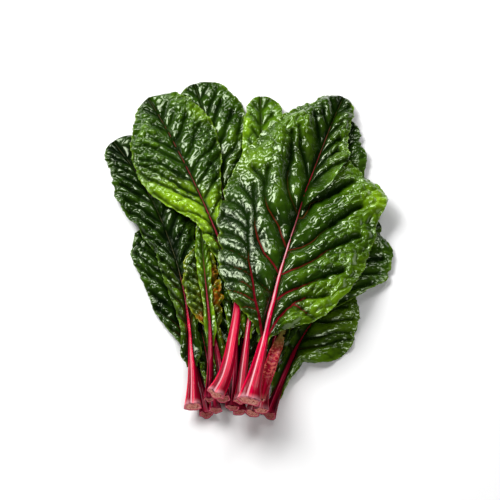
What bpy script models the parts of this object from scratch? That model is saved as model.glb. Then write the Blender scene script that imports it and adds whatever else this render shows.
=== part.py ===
"""Swiss chard bunch: fourteen loose leaves in a pile, each a red stalk with its midrib and a green blade.

Run with blender --background --python part.py. Metres, +Z up. The bunch lies on the plane z = 0 with its
cut ends towards -Y and its leaf tips towards +Y, and the origin is under the middle of its bounding box.

Each leaf is two objects. The stalk is the bare petiole and, under the blade, the midrib that it tapers
into. The blade is a thin sheet that lies over its own midrib and over the leaves below it. The leaves are
laid down one at a time, from the lowest to the highest, and each settles on the ones already there.
"""

import math
from dataclasses import dataclass

import bmesh
import bpy
import numpy as np

MM = 0.001

# Driving dimensions, in millimetres and degrees.
BLADE_THICKNESS = 0.8
RIB_GAP = 0.4             # between a blade and its own midrib
STALK_GAP = 0.8           # between a stalk and what it lies on
SHEET_GAP = 2.6           # the air that crinkled blades keep between each other
TIP_GIRTH = (2.0, 1.6)    # width and depth of the midrib at the tip
NECK_SHARE = 0.42         # the girth at the blade's base, as a share of the cut end's
FLARE = 0.18              # how much wider the stalk gets over its last stretch, towards the cut end
FLARE_LENGTH = 34.0
CUT_LEAN = 14.0           # the cut faces lean back from upright
RIB_MARGIN = 1.2          # flat strip of the blade beside its midrib
SWEEP_STATIONS = (0.0, 0.2, 0.5, 0.85, 1.0)
ROW_SWEEPS = (-0.3, 0.2, 0.5, 0.5, 0.1)  # a blade row's lean along the midrib, at SWEEP_STATIONS
LEAST_HALF_WIDTH = 3.0
DROOP = 0.0019            # fall of a blade below its midrib, times the squared distance from it

STALK_SIDES = 10
PETIOLE_STATIONS = (0.0, 0.12, 0.32, 0.55, 0.8)
BLADE_STATIONS = (0.0, 0.06, 0.14, 0.23, 0.33, 0.44, 0.55, 0.66, 0.76, 0.85, 0.92, 0.97, 1.0)
WIDTH_STATIONS = (0.0, 0.15, 0.35, 0.55, 0.75, 0.92)  # where a Leaf's left and right are given
COLUMN_SHARES = (0.0, 0.28, 0.54, 0.78, 1.0)          # across half a blade, from the midrib to the margin

PILE_CELL = 2.0           # of the height map that the leaves settle on
PILE_HALF = (200.0, 230.0)
SETTLE_STEPS = 40
FINE = 8                  # points that are tested for contact, per mesh edge

STALK_COLOUR = (0.50, 0.01, 0.06)
BLADE_COLOUR = (0.03, 0.12, 0.01)


@dataclass
class Leaf:
    """One leaf in plan. Lengths are in millimetres. Headings are degrees clockwise from +Y."""

    name: str
    cut: tuple       # the cut end's centre, x and y
    headings: tuple  # of the midrib line: at the cut end, halfway to the blade, at its base and at its tip
    petiole: float   # length of the bare stalk
    blade: float     # length of the blade along its midrib
    left: tuple      # half widths of the blade at WIDTH_STATIONS
    right: tuple
    girth: tuple     # stalk width and depth at the cut end
    bow: float = 0.0  # how far the bare stalk bends to the right of that line


# From the lowest leaf in the pile to the highest.
LEAVES = (
    Leaf("low_left", (-46, -185), (-11, -13, -17, -16), 84, 146,
         (8, 16, 24, 27, 27, 18), (8, 22, 32, 34, 28, 16), (13, 11)),
    Leaf("low_right", (19, -186), (18, 20, 22, 52), 74, 104,
         (8, 20, 28, 30, 24, 12), (14, 44, 46, 38, 28, 14), (13, 11)),
    Leaf("right_side", (2, -185), (12, 18, 24, 46), 92, 178,
         (10, 26, 37, 38, 26, 14), (8, 20, 46, 60, 45, 17), (13, 11)),
    Leaf("back_right", (11, -187), (8, 10, 11, 19), 58, 308,
         (9, 26, 40, 36, 22, 8), (9, 26, 44, 48, 42, 22), (14, 11)),
    Leaf("hidden_centre", (-11, -188), (0, 0, 2, 8), 46, 230,
         (8, 21, 41, 52, 41, 19), (8, 22, 36, 44, 38, 20), (13, 10)),
    Leaf("inner_left", (-36, -185), (-6, -8, -10, -12), 42, 120,
         (7, 12, 14, 14, 12, 8), (7, 12, 13, 13, 11, 7), (12, 10)),
    Leaf("top_centre", (-19, -188), (4, 2, 0, -17), 92, 309,
         (8, 16, 25, 31, 33, 20), (8, 18, 27, 31, 40, 30), (13, 10)),
    Leaf("upper_centre", (-10.5, -184), (3, 6, 7, -2), 92, 286,
         (8, 14, 20, 21, 20, 16), (8, 16, 24, 30, 31, 21), (13, 10)),
    Leaf("left_side", (-60, -180), (0, -3, -5, -35), 88, 248,
         (9, 16, 20, 33, 27, 18), (8, 14, 24, 27, 24, 26), (16, 12)),
    Leaf("inner_gold", (-28, -184), (-2, -9, -13, -4), 92, 96,
         (8, 14, 18, 18, 15, 9), (8, 14, 18, 18, 15, 9), (12, 10)),
    Leaf("inner_edge", (-43, -178), (4, -1, -6, -3), 112, 104,
         (5, 7, 8, 8, 7, 5), (5, 6, 7, 7, 6, 4), (9, 8)),
    Leaf("inner_right", (12, -180), (10, 16, 22, 26), 96, 70,
         (5, 9, 12, 13, 11, 7), (5, 9, 11, 11, 10, 6), (13, 10)),
    Leaf("upper_left", (-37, -184), (31, 8, -17, -27), 150, 250,
         (8, 13, 29, 52, 40, 21), (8, 11, 17, 43, 43, 28), (17, 12), bow=-6.5),
    Leaf("front_right", (-2, -190), (13, 12, 11, 21), 90, 306,
         (11, 59, 81, 71, 50, 22), (13, 66, 81, 72, 27, 17), (22, 14)),
)


def spine_of(leaf):
    """Distances from the cut end, plan points and unit directions of the midrib line at every station."""
    length = leaf.petiole + leaf.blade
    stations = [share * leaf.petiole for share in PETIOLE_STATIONS]
    stations += [leaf.petiole + share * leaf.blade for share in BLADE_STATIONS]
    fine = np.linspace(0.0, length, 400)
    turn = np.radians(np.interp(fine, (0.0, leaf.petiole / 2, leaf.petiole, length), leaf.headings))
    step = fine[1] - fine[0]
    x = leaf.cut[0] + np.concatenate([[0.0], np.cumsum(np.sin(turn[:-1]))]) * step
    y = leaf.cut[1] + np.concatenate([[0.0], np.cumsum(np.cos(turn[:-1]))]) * step
    x = x + leaf.bow * np.sin(np.pi * np.clip(fine / leaf.petiole, 0, 1)) ** 2
    turn = np.arctan2(np.gradient(x), np.gradient(y))
    at = np.array(stations)
    points = np.stack([np.interp(at, fine, x), np.interp(at, fine, y)], axis=1)
    angle = np.interp(at, fine, turn)
    return at, points, np.stack([np.sin(angle), np.cos(angle)], axis=1)


def half_width(values, share):
    """A blade's half width at a share of its length: a smooth curve through values, with a round tip."""
    last = WIDTH_STATIONS[-1]
    if share > last:
        return values[-1] * math.sqrt(max(0.0, 1 - ((share - last) / (1 - last)) ** 2))
    index = max(i for i, station in enumerate(WIDTH_STATIONS[:-1]) if station <= share)
    low, high = WIDTH_STATIONS[index], WIDTH_STATIONS[index + 1]
    t = (share - low) / (high - low)
    start, end = values[index], values[index + 1]
    slope_in = (end - values[max(index - 1, 0)]) / 2
    slope_out = (values[min(index + 2, len(values) - 1)] - start) / 2
    ease = t * t * (3 - 2 * t)
    return start * (1 - ease) + end * ease + t * (1 - t) * (slope_in * (1 - t) - slope_out * t)


def girth_at(leaf, along):
    """Stalk width and depth at a distance from the cut end: flared there, and tapering to the tip."""
    neck = [side * NECK_SHARE for side in leaf.girth]
    if along < leaf.petiole:
        share = along / leaf.petiole
        width, depth = (a + (b - a) * share for a, b in zip(leaf.girth, neck))
        return width * (1 + FLARE * max(0.0, 1 - along / FLARE_LENGTH) ** 2), depth
    share = ((along - leaf.petiole) / leaf.blade) ** 0.8
    return tuple(a + (b - a) * share for a, b in zip(neck, TIP_GIRTH))


def rights_of(directions):
    return np.stack([directions[:, 1], -directions[:, 0]], axis=1)


class Pile:
    """The height of what is already laid down, on a square grid over the plane. Zero is the bare plane."""

    def __init__(self):
        self.shape = [int(2 * half / PILE_CELL) + 1 for half in PILE_HALF]
        self.height = np.zeros(self.shape)

    def cells(self, points):
        place = [np.rint((points[..., k] + PILE_HALF[k]) / PILE_CELL) for k in range(2)]
        return tuple(np.clip(place[k], 0, self.shape[k] - 1).astype(int) for k in range(2))

    def add(self, points, tops):
        np.maximum.at(self.height, self.cells(points), tops)

    def floor(self, points, gap):
        """The height that something at points must clear: its own cell and the eight around it."""
        highest = self.height
        for shift in (-1, 1):
            highest = np.maximum(highest, np.roll(self.height, shift, axis=0))
        for shift in (-1, 1):
            highest = np.maximum(highest, np.roll(highest, shift, axis=1))
        found = highest[self.cells(points)]
        return np.where(found > 0, found + gap, 0.0)


def between(values, count):
    """values with count - 1 more rows put between each two, in straight lines."""
    at = np.arange((len(values) - 1) * count + 1) / count
    low = np.minimum(at.astype(int), len(values) - 2)
    share = (at - low).reshape((-1,) + (1,) * (values.ndim - 1))
    return values[low] * (1 - share) + values[low + 1] * share


def fine_grid(values):
    """The same along both of the first two axes."""
    return between(between(values, FINE).swapaxes(0, 1), FINE).swapaxes(0, 1)


def lift_at_knots(lack, knots):
    """How far each knot rises to make up the lack at the finer points on both sides of it, on one axis."""
    lifts = []
    for knot in range(knots):
        first, last = max(0, (knot - 1) * FINE), min(len(lack), (knot + 1) * FINE + 1)
        weight = 1 - np.abs(np.arange(first, last) / FINE - knot)
        weight = weight.reshape((-1,) + (1,) * (lack.ndim - 1))
        lifts.append((lack[first:last] * weight).max(axis=0))
    return np.array(lifts)


def stalk_lanes(points, directions, girth):
    """Lines along a stalk, from side to side, each with the share of the half depth that it has there."""
    across = rights_of(directions) * girth[:, :1]
    for share in np.linspace(-0.5, 0.5, 9):
        yield between(points + across * share, FINE), math.sqrt(1 - (1.9 * share) ** 2)


def stalk_heights(leaf, at, points, directions, girth, pile):
    """The centre line's height: the stalk lies on what is below it, and bridges the hollows between."""
    depth = between(girth[:, 1], FINE) / 2
    lanes = [
        pile.floor(lane, STALK_GAP) + depth * bulge
        for lane, bulge in stalk_lanes(points, directions, girth)
    ]
    floor = np.max(lanes, axis=0)
    height = girth[:, 1] / 2
    for _ in range(SETTLE_STEPS):
        share = (at[1:-1] - at[:-2]) / (at[2:] - at[:-2])
        chord = height[:-2] * (1 - share) + height[2:] * share
        height[1:-1] = np.maximum(height[1:-1], chord)
        lack = np.maximum(0.0, floor - between(height, FINE))
        height = height + lift_at_knots(lack, len(height))
    return height


def blade_plan(leaf, points, directions, girth):
    """Plan points of the blade's grid, one row per station, and their distances from the midrib."""
    rows, offsets = [], []
    first = len(PETIOLE_STATIONS)
    rights = rights_of(directions)
    for share, point, along, right, size in zip(
        BLADE_STATIONS, points[first:], directions[first:], rights[first:], girth[first:]
    ):
        sweep = float(np.interp(share, SWEEP_STATIONS, ROW_SWEEPS))
        near = size[0] / 2 + RIB_MARGIN
        half = {}
        for side, values in ((-1, leaf.left), (1, leaf.right)):
            width = max(half_width(values, share), near + LEAST_HALF_WIDTH)
            half[side] = [side * (near + (width - near) * column) for column in COLUMN_SHARES]
        offset = half[-1][::-1] + half[1]
        rows.append([point + right * s + along * (sweep * (abs(s) - near)) for s in offset])
        offsets.append(offset)
    return np.array(rows), np.array(offsets)


def blade_heights(plan, offsets, rib, pile):
    """The underside's height: on the midrib in the middle, drooping to the margins, clear of the pile."""
    floor = pile.floor(fine_grid(plan), SHEET_GAP)
    wanted = np.maximum(0.0, rib[:, None] - DROOP * offsets**2)
    inner = len(COLUMN_SHARES)
    beside = slice(inner - 1, inner + 1)
    sheet = wanted.copy()
    for _ in range(SETTLE_STEPS):
        lack = np.maximum(0.0, floor - fine_grid(sheet))
        lift = lift_at_knots(lift_at_knots(lack, len(sheet)).T, sheet.shape[1]).T
        sheet = sheet + lift
        eased = sheet.copy()
        eased[:, 1:-1] = 0.8 * sheet[:, 1:-1] + 0.1 * (sheet[:, 2:] + sheet[:, :-2])
        sheet = np.maximum(eased, wanted)
        sheet[:, beside] = np.maximum(sheet[:, beside], rib[:, None])
    lack = np.maximum(0.0, floor - fine_grid(sheet))
    return sheet + 2 * lift_at_knots(lift_at_knots(lack, len(sheet)).T, sheet.shape[1]).T


def stalk_object(leaf, points, directions, girth, height, collection):
    """A loft of ten-sided rings, flat above and below, with a leaning cut face."""
    mesh = bmesh.new()
    angles = [2 * math.pi * k / STALK_SIDES for k in range(STALK_SIDES)]
    flat = max(math.sin(angle) for angle in angles)
    rings = []
    for i, (point, along, right, size) in enumerate(zip(points, directions, rights_of(directions), girth)):
        ring = []
        for angle in angles:
            up = size[1] / 2 * math.sin(angle) / flat
            lean = up * math.tan(math.radians(CUT_LEAN)) if i == 0 else 0.0
            x, y = point + right * (size[0] / 2 * math.cos(angle)) + along * lean
            ring.append(mesh.verts.new((x * MM, y * MM, (height[i] + up) * MM)))
        rings.append(ring)
    for low, high in zip(rings, rings[1:]):
        for k in range(STALK_SIDES):
            after = (k + 1) % STALK_SIDES
            mesh.faces.new((low[k], low[after], high[after], high[k]))
    mesh.faces.new(rings[0])
    mesh.faces.new(rings[-1])
    bmesh.ops.recalc_face_normals(mesh, faces=mesh.faces)
    return linked(mesh, leaf.name + "_stalk", stalk_material(leaf), collection)


def blade_object(leaf, plan, sheet, collection):
    """A grid moved to the sheet's points, thickened upwards."""
    rows, columns = sheet.shape
    mesh = bmesh.new()
    bmesh.ops.create_grid(mesh, x_segments=columns - 1, y_segments=rows - 1, size=1.0)
    order = sorted(mesh.verts, key=lambda v: (round(v.co.y, 4), round(v.co.x, 4)))
    for vert, place, up in zip(order, plan.reshape(-1, 2), sheet.reshape(-1)):
        vert.co = (place[0] * MM, place[1] * MM, up * MM)
    obj = linked(mesh, leaf.name + "_blade", blade_material(leaf), collection)
    thick = obj.modifiers.new("Thickness", "SOLIDIFY")
    thick.thickness = BLADE_THICKNESS * MM
    thick.offset = 1.0
    return obj


def linked(mesh, name, material, collection):
    data = bpy.data.meshes.new(name)
    mesh.to_mesh(data)
    mesh.free()
    data.materials.append(material)
    obj = bpy.data.objects.new(name, data)
    collection.objects.link(obj)
    return obj


def stalk_material(leaf):
    return principled("chard_stalk_" + leaf.name, STALK_COLOUR, 0.35)


def blade_material(leaf):
    return principled("chard_blade_" + leaf.name, BLADE_COLOUR, 0.3)


def principled(name, colour, roughness):
    material = bpy.data.materials.new(name)
    material.use_nodes = True
    shader = material.node_tree.nodes["Principled BSDF"]
    shader.inputs["Base Color"].default_value = (*colour, 1.0)
    shader.inputs["Roughness"].default_value = roughness
    shader.inputs["Metallic"].default_value = 0.0
    return material


def lay_down(leaf, pile, collection):
    """Settles one leaf on the pile, makes its two objects, and adds them to the pile."""
    at, points, directions = spine_of(leaf)
    girth = np.array([girth_at(leaf, along) for along in at])
    height = stalk_heights(leaf, at, points, directions, girth, pile)
    plan, offsets = blade_plan(leaf, points, directions, girth)
    rib = (height + girth[:, 1] / 2)[len(PETIOLE_STATIONS) :] + RIB_GAP
    sheet = blade_heights(plan, offsets, rib, pile)
    for lane, bulge in stalk_lanes(points, directions, girth):
        pile.add(lane, between(height + girth[:, 1] / 2 * bulge, FINE))
    pile.add(fine_grid(plan), fine_grid(sheet) + BLADE_THICKNESS)
    return [
        stalk_object(leaf, points, directions, girth, height, collection),
        blade_object(leaf, plan, sheet, collection),
    ]


def centre_on_origin(objects):
    """Moves the whole bunch so that the origin is under the middle of its bounding box."""
    bpy.context.view_layer.update()
    graph = bpy.context.evaluated_depsgraph_get()
    places = np.concatenate([
        np.array([vert.co for vert in obj.evaluated_get(graph).to_mesh().vertices]) for obj in objects
    ])
    low, high = places.min(axis=0), places.max(axis=0)
    shift = ((low[0] + high[0]) / 2, (low[1] + high[1]) / 2, low[2])
    for obj in objects:
        obj.location = [-part for part in shift]


def main():
    for obj in list(bpy.data.objects):
        bpy.data.objects.remove(obj)
    collection = bpy.data.collections.new("swiss_chard_bunch")
    bpy.context.scene.collection.children.link(collection)
    pile = Pile()
    objects = []
    for leaf in LEAVES:
        objects += lay_down(leaf, pile, collection)
    centre_on_origin(objects)


main()
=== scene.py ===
"""Swiss chard bunch: the looks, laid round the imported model.

Every leaf is two pieces: a crinkled blade, and a ridged stalk that runs on as the midrib. The plan of each
leaf is repeated from the CAD source in millimetres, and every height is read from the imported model. The
leaves are dressed from the lowest to the highest, and each one is laid over the crinkles of those below.
"""

import math
from dataclasses import dataclass

import bpy
import numpy as np
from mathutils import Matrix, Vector
from mathutils.bvhtree import BVHTree


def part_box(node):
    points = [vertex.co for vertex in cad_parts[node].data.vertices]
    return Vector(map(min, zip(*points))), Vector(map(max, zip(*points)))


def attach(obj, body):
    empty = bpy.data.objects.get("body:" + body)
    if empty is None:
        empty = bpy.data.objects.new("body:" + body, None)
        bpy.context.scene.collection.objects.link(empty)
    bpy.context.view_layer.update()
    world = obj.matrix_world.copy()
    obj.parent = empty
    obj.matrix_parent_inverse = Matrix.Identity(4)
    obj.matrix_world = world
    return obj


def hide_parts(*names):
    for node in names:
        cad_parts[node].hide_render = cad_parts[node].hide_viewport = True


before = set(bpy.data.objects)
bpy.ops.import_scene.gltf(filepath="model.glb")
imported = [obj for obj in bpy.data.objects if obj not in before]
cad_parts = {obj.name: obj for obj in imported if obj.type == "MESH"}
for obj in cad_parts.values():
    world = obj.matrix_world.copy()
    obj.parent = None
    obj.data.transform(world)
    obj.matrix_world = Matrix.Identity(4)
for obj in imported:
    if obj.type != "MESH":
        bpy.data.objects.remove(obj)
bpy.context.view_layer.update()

MM = 0.001

# Lengths are in millimetres and angles in degrees.
SHEET = 0.55             # a blade's thickness
CLEARANCE = 0.5          # between a blade and what it lies on
SETTLING = 0.9           # how softly it comes to rest there
FAR = 60.0               # further than any vein or any leaf above can matter
# How far a blade's mesh row leads at shares of its length, for each millimetre outwards.
ROW_SWEEPS = ((0.0, 0.2, 0.5, 0.85, 1.0), (-0.3, 0.2, 0.5, 0.5, 0.1))
FLARE, FLARE_LENGTH = 0.18, 34.0  # a stalk widens by this share over this length to its cut end
TIP_GIRTH = (0.7, 0.8)   # a midrib's width and depth at the tip
PLEAT_LINE = ((147, 158, 171, 188, 201, 225), (0, 6, 13, 23, 27, 31))  # advance, and distance out
STALK_SIDES, RING_STEP = 36, 2.4
CUT_LEAN = 14.0
CUT_RINGS = (1.0, 0.96, 0.86, 0.7, 0.5, 0.26)  # sizes of the rings on a cut face
SPINDLE = 88.0           # length of the swelling in the withered stalk

ELEVATION = 64.0
CAMERA_DISTANCE, FRAME_WIDTH = 4.0, 0.530  # metres
AIM = (-0.53, -0.67, 20.0)  # the point in the middle of the view
FLOOR_HALF = 6.0         # metres
LIGHT_AIM = (0.0, 0.0, 0.02)
LIGHTS = (               # name, place and size in metres, power in watts
    ("key", (-0.94, 0.71, 1.22), 0.85, 35.0),
    ("back", (0.67, 1.14, 1.37), 0.5, 7.0),
    ("front", (0.4, -1.0, 1.7), 0.5, 10.0),
    ("side", (-0.36, 1.10, 1.24), 0.6, 8.0),
)
WORLD_LIGHT = 0.03


@dataclass
class Leaf:
    """A leaf's plan, in millimetres and degrees clockwise from +Y, and how it looks."""

    name: str
    cut: tuple             # the middle of the cut end
    headings: tuple        # at the cut end, halfway to the blade, at its base and at its tip
    petiole: float         # length of the bare stalk
    blade: float           # length of the blade
    left: tuple            # half widths at tenths of the blade's length, from its base
    right: tuple
    girth: tuple           # the stalk's width and depth at the cut end
    seed: int
    step: float = 1.4      # mesh spacing
    spacing: float = 22.0  # between lateral veins
    slope: tuple = (0.9, 0.9)  # the laterals' advance for each millimetre outwards, left and right
    puff: float = 4.5      # rise of the rolls between lateral veins
    crumple: float = 1.8   # rise of the pillows that divide a roll
    cell: float = 9.0      # size of a pillow
    ruffle: float = 3.0    # rise of the waves along the margin
    scallop: float = 1.5   # how far a roll swells the margin
    camber: tuple = (1.5, 1.5)  # how far each half arches up between the midrib and the margin
    wings: tuple = (16.0, 0.0, 0.0)  # how far below its base the blade begins, and its half widths on the way
    neck: float = 0.42     # the girth at the blade's base, as a share of the cut end's
    bow: float = 0.0       # how far the bare stalk bends to the right
    taper: float = 6.0     # how fast the midrib narrows along the blade
    red_share: float = 0.6  # how far along the blade the midrib stays red
    green: str = "mid"
    # the stalk's colours; dark is crimson with painted shade
    stalk: str = "crimson"
    red: float = 0.3       # how red the laterals are near the base
    veins: tuple = ((), ())  # laterals listed one by one, left and right
    pale: tuple = ()       # yellower patches: (advance, offset, radius, strength)
    rust: tuple = ()       # orange patches on the margin
    calm: tuple = ()       # where the rolls are flatter
    sheen: tuple = ()      # where the blade is flatter between its veins and shines more broadly
    waver: float = 4.0     # how far the rolls wander sideways
    gloss: float = 0.62    # specular level of the blade
    crown: tuple = (0.2, 0.42)  # the stalk's pale crown, partly its own pale stripe and partly a painted highlight along its top, fades between these shares of its length
    wane: tuple = ()       # the shares of it between which the red turns dark
    cap: tuple = (2.0, 0.5)  # exponents of the tip's outline

    @property
    def length(self):
        return self.petiole + self.blade


# The front leaf's lateral veins, left and right of its midrib: redness, and points as advance and distance
# out from the blade's base.
FRONT_VEINS = ((
    (1.0, ((-9, 3), (9, 10), (21, 15), (36, 22), (51, 28), (69, 35), (86, 39), (130, 49))),
    (0.35, ((43, 4), (47, 15), (53, 27))),
    (0.3, ((5, 8), (9, 15), (12, 26))),
    (0.4, ((13, 12), (18, 24), (18, 38), (16, 50))),
    (0.5, ((24, 17), (30, 30), (33, 46), (33, 60))),
    (0.4, ((36, 22), (43, 36), (46, 50), (45, 66))),
    (0.3, ((52, 29), (60, 42), (64, 56), (63, 72))),
    (0.3, ((69, 35), (78, 47), (82, 60), (80, 76))),
    (0.2, ((87, 39), (97, 50), (101, 64), (100, 78))),
    (0.1, ((104, 43), (115, 54), (119, 66), (120, 76))),
    (0.0, ((122, 48), (134, 56), (139, 66), (141, 76))),
    (0.0, ((143, 46), (154, 56), (161, 66))),
    (0.0, ((168, 41), (178, 50), (186, 60))),
    (0.8, ((68, 2), (76, 9), (84, 22), (100, 33), (115, 39), (129, 41), (164, 54))),
    (0.75, ((103, 2), (113, 9), (123, 15), (138, 30), (147, 35), (160, 40), (189, 45))),
    (0.4, ((148, 1), (161, 12), (172, 18), (191, 24), (212, 27), (240, 36))),
    (0.0, ((193, 1), (208, 9), (226, 22), (248, 31))),
    (0.0, ((236, 1), (252, 9), (270, 20))),
), (
    (0.9, ((-10, 3), (13, 10), (24, 16), (35, 23), (43, 33), (46, 41), (55, 56))),
    (0.7, ((32, 23), (26, 36), (22, 44))),
    (0.8, ((38, 4), (45, 11), (53, 21), (61, 30), (73, 44), (89, 62))),
    (0.7, ((67, 3), (76, 14), (85, 24), (106, 40), (114, 49), (135, 70))),
    (0.5, ((99, 1), (107, 15), (119, 26), (145, 41), (172, 62))),
    (0.5, ((144, 0), (144, 6), (164, 13), (179, 26), (200, 46))),
    (0.0, ((182, 1), (198, 7), (211, 17), (222, 30))),
    (0.0, ((207, 1), (223, 8), (234, 18))),
    (0.0, ((229, 1), (240, 8), (251, 15))),
))

LEAVES = (
    Leaf("low_left", (-46, -185), (-11, -13, -17, -16), 84, 146,
        (8, 13, 20, 24, 25, 26, 28, 29, 25, 19), (8, 18, 26, 31, 34, 34, 32, 29, 24, 17), (13, 11),
        11, spacing=19, crumple=2.6, cell=11, slope=(1.4, 1.2), green="deep", gloss=0.45, stalk="dark",
        wings=(30, 8, 8)),
    Leaf("low_right", (19, -186), (18, 20, 22, 52), 74, 104,
        (8, 15, 23, 28, 30, 30, 28, 25, 20, 13), (14, 36, 47, 48, 44, 39, 35, 28, 20, 14), (13, 11),
        12, step=1.1, spacing=19, slope=(0.8, 0.6), puff=3.2, ruffle=7, scallop=3, stalk="dark",
        wings=(50, 10, 7), pale=((60, 10, 60, 0.3),),
        sheen=((30, 22, 26, 0.8), (62, 26, 28, 0.8), (84, 0, 22, 0.6))),
    Leaf("right_side", (2, -185), (12, 18, 24, 46), 92, 178,
        (10, 20, 29, 35, 38, 39, 35, 28, 23, 15), (8, 13, 26, 40, 52, 62, 57, 49, 38, 19), (13, 11),
        13, step=1.3, spacing=21, slope=(0.8, 0.8), puff=5, ruffle=4, scallop=3, stalk="pale",
        wings=(30, 8, 8), sheen=((80, 42, 34, 0.8), (125, 42, 34, 0.8))),
    Leaf("back_right", (11, -187), (8, 10, 11, 19), 58, 308,
        (9, 20, 32, 39, 40, 37, 32, 25, 17, 9), (9, 18, 30, 40, 47, 48, 47, 43, 38, 25), (14, 11),
        14, step=1.5, spacing=24, green="deep", stalk="pale"),
    Leaf("hidden_centre", (-11, -188), (0, 0, 2, 8), 46, 230,
        (8, 16, 26, 36, 46, 52, 52, 46, 36, 22), (8, 16, 26, 34, 40, 43, 43, 40, 34, 22), (13, 10),
        15, step=1.9, green="deep", stalk="dark"),
    Leaf("inner_left", (-36, -185), (-6, -8, -10, -12), 42, 120,
        (7, 10, 13, 14, 14, 14, 13, 12, 11, 8), (7, 10, 12, 13, 13, 13, 12, 11, 10, 7), (12, 10),
        16, step=1.1, spacing=13, puff=3.5, crumple=3, cell=6, ruffle=9, scallop=5, stalk="dark",
        wings=(30, 8, 8)),
    Leaf("top_centre", (-19, -188), (4, 2, 0, -17), 92, 309,
        (8, 13, 19, 24, 27, 30, 33, 35, 30, 22), (8, 15, 21, 26, 28, 30, 33, 38, 41, 32), (13, 10),
        17, step=1.25, spacing=23, slope=(1.3, 1.5), puff=5, stalk="dark", red_share=0.8,
        pale=((180, 20, 40, 0.3),)),
    Leaf("upper_centre", (-10.5, -184), (3, 6, 7, -2), 92, 286,
        (8, 12, 16, 19, 21, 21, 21, 20, 19, 16), (8, 13, 19, 23, 26, 29, 31, 32, 30, 22), (13, 10),
        18, step=1.25, spacing=19, slope=(1.3, 1.3), puff=4, green="light", taper=7),
    Leaf("left_side", (-60, -180), (0, -3, -5, -35), 88, 248,
        (9, 13, 18, 19, 22, 30, 35, 31, 24, 19), (8, 12, 17, 23, 29, 33, 33, 29, 26, 26), (16, 12),
        19, step=1.1, spacing=21, slope=(1.7, 1.0), puff=5.5, crumple=3, cell=13, ruffle=3.5, scallop=3.5,
        green="deep", gloss=0.5, crown=(0.12, 0.28), neck=0.24, taper=7, red_share=0.3, wings=(42, 11, 12),
        pale=((20, -12, 22, 0.5), (60, -18, 16, 0.35))),
    Leaf("inner_gold", (-28, -184), (-2, -9, -13, -4), 92, 96,
        (8, 12, 16, 18, 18, 18, 17, 15, 13, 9), (8, 12, 16, 18, 18, 18, 17, 15, 13, 9), (12, 10),
        20, step=0.95, spacing=12, puff=5, crumple=4, cell=8, ruffle=8, scallop=7.5, green="gold",
        stalk="dark", neck=0.3, wings=(46, 8, 9),
        rust=((34, 15, 13, 1.0), (62, 13, 10, 0.8), (10, -10, 7, 0.7))),
    Leaf("inner_edge", (-43, -178), (4, -1, -6, -3), 112, 104,
        (5, 6, 7, 8, 8, 8, 8, 7, 6, 5), (5, 6, 6, 7, 7, 7, 7, 6, 5, 4), (9, 8),
        21, step=0.9, spacing=12, slope=(1.5, 1.5), puff=2.5, crumple=1.2, cell=5, ruffle=5, scallop=3.5,
        green="light", stalk="dark", neck=0.25, wings=(52, 6, 7)),
    Leaf("inner_right", (12, -180), (10, 16, 22, 26), 96, 70,
        (5, 8, 10, 12, 13, 13, 12, 11, 9, 7), (5, 8, 10, 11, 11, 11, 11, 10, 8, 6), (13, 10),
        22, step=0.95, spacing=11, puff=3, crumple=1.6, cell=5, green="deep", stalk="blotched", neck=0.9,
        crown=(0.0, 0.02)),
    Leaf("upper_left", (-37, -184), (31, 8, -17, -27), 150, 250,
        (8, 11, 15, 19, 43, 52, 50, 44, 34, 23), (8, 10, 12, 14, 24, 38, 46, 46, 40, 30), (17, 12),
        23, step=1.0, spacing=21, slope=(1.2, 0.65), puff=4.2, crumple=2.7, cell=8.5, scallop=1.2,
        camber=(3, 2), red=0.0, red_share=1.0, neck=0.36, bow=-6.5, wings=(30, 6, 6), cap=(1.5, 0.75),
        gloss=0.56, crown=(0.12, 0.3), wane=(0.2, 0.42),
        sheen=((75, -40, 20, 0.6), (115, -47, 22, 0.7), (150, -48, 22, 0.5)),
        pale=((109, -29, 34, 0.95), (143, -48, 30, 0.15), (89, -19, 26, 0.9),
              (202, 45, 18, 0.6), (165, 18, 40, -0.45), (60, 0, 34, 0.9))),
    Leaf("front_right", (-2, -190), (13, 12, 11, 21), 90, 306,
        (11, 47, 68, 80, 81, 74, 67, 57, 42, 25), (13, 54, 76, 84, 83, 86, 54, 31, 22, 18), (22, 14),
        24, step=1.1, spacing=25, slope=(1.2, 1.15), puff=8.2, crumple=3.1, waver=2.4, cell=10.5,
        scallop=4.5, camber=(7, 2), red=0.35, red_share=1.0, neck=0.36, taper=3.6, gloss=0.75,
        crown=(0.46, 0.62), veins=FRONT_VEINS,
        pale=((235, 0, 42, 0.2), (112, 32, 36, -0.4), (60, 66, 20, 0.4), (104, 80, 16, 0.35),
              (30, 45, 22, 0.5), (186, 82, 15, 1.5), (20, -41, 20, 0.2), (191, -67, 18, 0.4)),
        rust=((92, -81, 5, 1.2), (72, -77, 5, 1.5), (60, -72, 4, 1.2)),
        sheen=((20, -38, 34, 0.7), (60, -58, 36, 0.9), (100, -66, 38, 0.9), (140, -62, 36, 0.8),
               (185, -52, 32, 0.6)),
        calm=((45, -55, 34, 0.8), (95, -62, 38, 0.8), (140, -62, 28, 0.6))),
)


# -------- patterns on the plane


def value_noise(x, y, seed):
    """Smooth noise between -1 and 1, one bump or so per unit."""
    x, y = np.broadcast_arrays(x, y)
    table = np.random.RandomState(seed).rand(256, 256) * 2 - 1
    xi, yi = np.floor(x).astype(int), np.floor(y).astype(int)
    fx, fy = x - xi, y - yi
    fx, fy = fx**3 * (fx * (fx * 6 - 15) + 10), fy**3 * (fy * (fy * 6 - 15) + 10)
    low = table[xi & 255, yi & 255] * (1 - fx) + table[(xi + 1) & 255, yi & 255] * fx
    high = table[xi & 255, (yi + 1) & 255] * (1 - fx) + table[(xi + 1) & 255, (yi + 1) & 255] * fx
    return low * (1 - fy) + high * fy


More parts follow.
